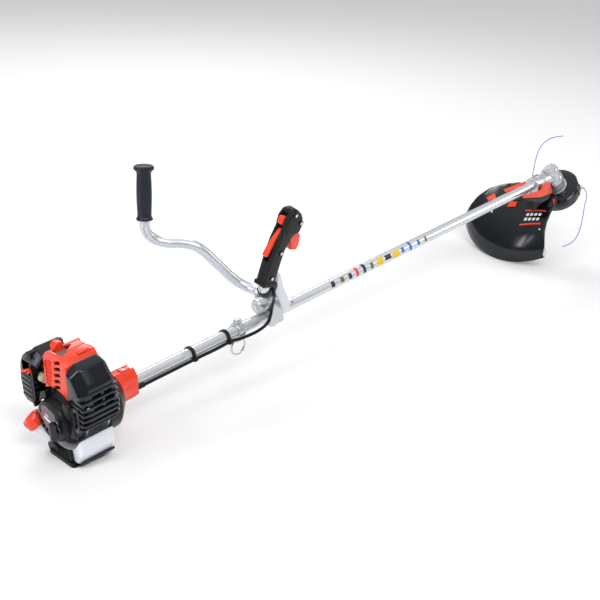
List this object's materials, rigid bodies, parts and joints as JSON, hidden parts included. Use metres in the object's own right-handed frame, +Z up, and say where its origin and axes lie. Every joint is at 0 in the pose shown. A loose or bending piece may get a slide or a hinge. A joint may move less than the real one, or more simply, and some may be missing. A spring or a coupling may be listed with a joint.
{
  "type": "string trimmer",
  "caption": "Petrol string trimmer: red and black engine, straight silver tube, wide handlebar with throttle grip, black shield and a bump-feed line head.",
  "frame": {"origin": "centre of the bounding box in plan, on the floor the machine stands on", "axes": "+X along the machine from engine to cutting head, +Y to the operator's left, +Z up"},
  "size_m": [1.9037, 0.458, 0.4905],
  "materials": {
    "red_plastic": "moulded, semi-gloss",
    "orange_plastic": "moulded, semi-gloss",
    "black_plastic": "moulded, fine texture",
    "black_gloss": "moulded, semi-gloss",
    "cast_aluminium": "die cast, bead blasted",
    "bar_aluminium": "drawn, satin",
    "steel": "zinc plated",
    "dark_steel": "plain",
    "muffler_steel": "heat-resistant paint",
    "tube_paint": "silver white paint",
    "bush_rubber": "plain",
    "filter_foam": "open foam",
    "ceramic": "glazed",
    "tank_plastic": "translucent, satin",
    "cable_sheath": "smooth sheath",
    "cutting_line": "nylon",
    "grip_rubber": "ribbed",
    "white_plastic": "moulded",
    "bulb_rubber": "translucent",
    "rope_fibre": "braided"
  },
  "bodies": {
    "chassis": {"crankcase": "cast_aluminium", "cylinder": "cast_aluminium", "clutch_case": "red_plastic", "starter_cover": "black_plastic", "engine_cover": "red_plastic", "muffler": "muffler_steel", "muffler_cover": "black_gloss", "carburetor": "cast_aluminium", "air_cleaner_base": "black_plastic", "air_filter": "filter_foam", "air_cleaner_cover": "black_gloss", "spark_plug": "ceramic", "fuel_tank": "tank_plastic", "tank_guard": "black_plastic", "cover_screws": "dark_steel", "shaft_tube": "tube_paint", "shaft_bushes": "bush_rubber", "hanger_clamp": "cast_aluminium", "cable_clips": "black_plastic", "handle_bracket": "cast_aluminium", "bracket_clamp": "cast_aluminium", "bracket_cap": "cast_aluminium", "clamp_bolts": "steel", "gear_case": "cast_aluminium", "ball_bearings": "steel", "shield": "black_gloss", "shield_bracket": "black_gloss", "line_cutter": "steel", "throttle_cable": "cable_sheath"},
    "crank": {"crankshaft": "steel", "flywheel": "cast_aluminium", "clutch_rotor": "dark_steel"},
    "drive": {"clutch_drum": "dark_steel", "drive_shaft": "steel", "pinion_gear": "steel"},
    "cutting_head": {"output_shaft": "steel", "bevel_gear": "steel", "holder_plate": "cast_aluminium", "head_housing": "black_gloss", "line_eyelets": "steel", "cutting_lines": "cutting_line"},
    "spool": {"line_spool": "black_plastic"},
    "bump": {"bump_knob": "black_gloss"},
    "handlebar": {"handlebar_tube": "bar_aluminium", "left_grip": "grip_rubber", "throttle_housing_left": "black_plastic", "throttle_housing_right": "black_plastic", "housing_screws": "steel", "upper_cable": "cable_sheath"},
    "trigger": {"throttle_trigger": "red_plastic"},
    "lockout": {"lockout_lever": "orange_plastic"},
    "switch": {"stop_switch": "orange_plastic"},
    "wing_knob": {"clamp_knob": "white_plastic"},
    "ring": {"hanger_ring": "steel"},
    "cap": {"fuel_cap": "red_plastic"},
    "choke": {"choke_lever": "red_plastic"},
    "primer": {"primer_bulb": "bulb_rubber"},
    "pulley": {"starter_pulley": "black_plastic"},
    "rope_grip": {"starter_handle": "black_plastic", "starter_rope": "rope_fibre"}
  },
  "joints": [
    {"name": "crank_spin", "type": "hinge", "parent": "chassis", "child": "crank", "pos_m": [-0.863, -0.0024, 0.09368], "axis": [0.9957, 0, 0.0924], "continuous": true},
    {"name": "head_spin", "type": "hinge", "parent": "chassis", "child": "cutting_head", "pos_m": [0.77099, -0.0024, 0.24526], "axis": [0.6858, 0, -0.7278], "continuous": true},
    {"name": "drive_spin", "type": "hinge", "parent": "chassis", "child": "drive", "pos_m": [-0.7226, -0.0024, 0.1067], "axis": [0.9957, 0, 0.0924], "continuous": true},
    {"name": "spool_wind", "type": "hinge", "parent": "cutting_head", "child": "spool", "pos_m": [0.77099, -0.0024, 0.24526], "axis": [0.6858, 0, -0.7278], "continuous": true},
    {"name": "bump_slide", "type": "slide", "parent": "spool", "child": "bump", "axis": [-0.6858, 0, 0.7278], "range_m": [0, 0.006], "stiffness_N_per_m": 1500, "springref_m": -0.002},
    {"name": "handlebar_tilt", "type": "hinge", "parent": "chassis", "child": "handlebar", "pos_m": [-0.36123, -0.0024, 0.18441], "axis": [0, 1, 0], "range_deg": [-15, 25]},
    {"name": "trigger_pull", "type": "hinge", "parent": "handlebar", "child": "trigger", "pos_m": [-0.53357, -0.20528, 0.43829], "axis": [0.0227, 0.9911, 0.1308], "range_deg": [0, 15], "stiffness_Nm_per_rad": 0.6, "springref_deg": -11.46},
    {"name": "lockout_press", "type": "hinge", "parent": "handlebar", "child": "lockout", "pos_m": [-0.55144, -0.20594, 0.44642], "axis": [-0.0227, -0.9911, -0.1308], "range_deg": [0, 12], "stiffness_Nm_per_rad": 0.4, "springref_deg": -11.46},
    {"name": "stop_slide", "type": "slide", "parent": "handlebar", "child": "switch", "axis": [0.1696, -0.1328, 0.9765], "range_m": [0, 0.006]},
    {"name": "knob_turn", "type": "hinge", "parent": "chassis", "child": "wing_knob", "pos_m": [-0.34429, -0.0024, 0.20205], "axis": [-0.0924, 0, 0.9957], "continuous": true},
    {"name": "ring_swing", "type": "hinge", "parent": "chassis", "child": "ring", "pos_m": [-0.45082, -0.0024, 0.11082], "axis": [0.9957, 0, 0.0924], "range_deg": [-60, 60]},
    {"name": "cap_turn", "type": "hinge", "parent": "chassis", "child": "cap", "pos_m": [-0.92668, 0.0576, 0.06567], "axis": [-0.526, 0.4967, 0.6903], "continuous": true},
    {"name": "choke_swing", "type": "hinge", "parent": "chassis", "child": "choke", "pos_m": [-0.92913, 0.0636, 0.16788], "axis": [0.9957, 0, 0.0924], "range_deg": [0, 38]},
    {"name": "primer_push", "type": "slide", "parent": "chassis", "child": "primer", "axis": [0.9957, 0, 0.0924], "range_m": [0, 0.004], "stiffness_N_per_m": 600, "springref_m": -0.001},
    {"name": "rope_pull", "type": "slide", "parent": "chassis", "child": "rope_grip", "axis": [-0.9957, 0, -0.0924], "range_m": [0, 0.5], "stiffness_N_per_m": 8, "springref_m": -0.12},
    {"name": "pulley_turn", "type": "hinge", "parent": "chassis", "child": "pulley", "pos_m": [-0.91677, -0.0024, 0.08869], "axis": [0.9957, 0, 0.0924], "range_deg": [0, 930]}
  ],
  "couplings": [
    {"joint": "drive_spin", "follows": "head_spin", "ratio": -1.3571},
    {"joint": "pulley_turn", "follows": "rope_pull", "rad_per_m": 32.258}
  ]
}
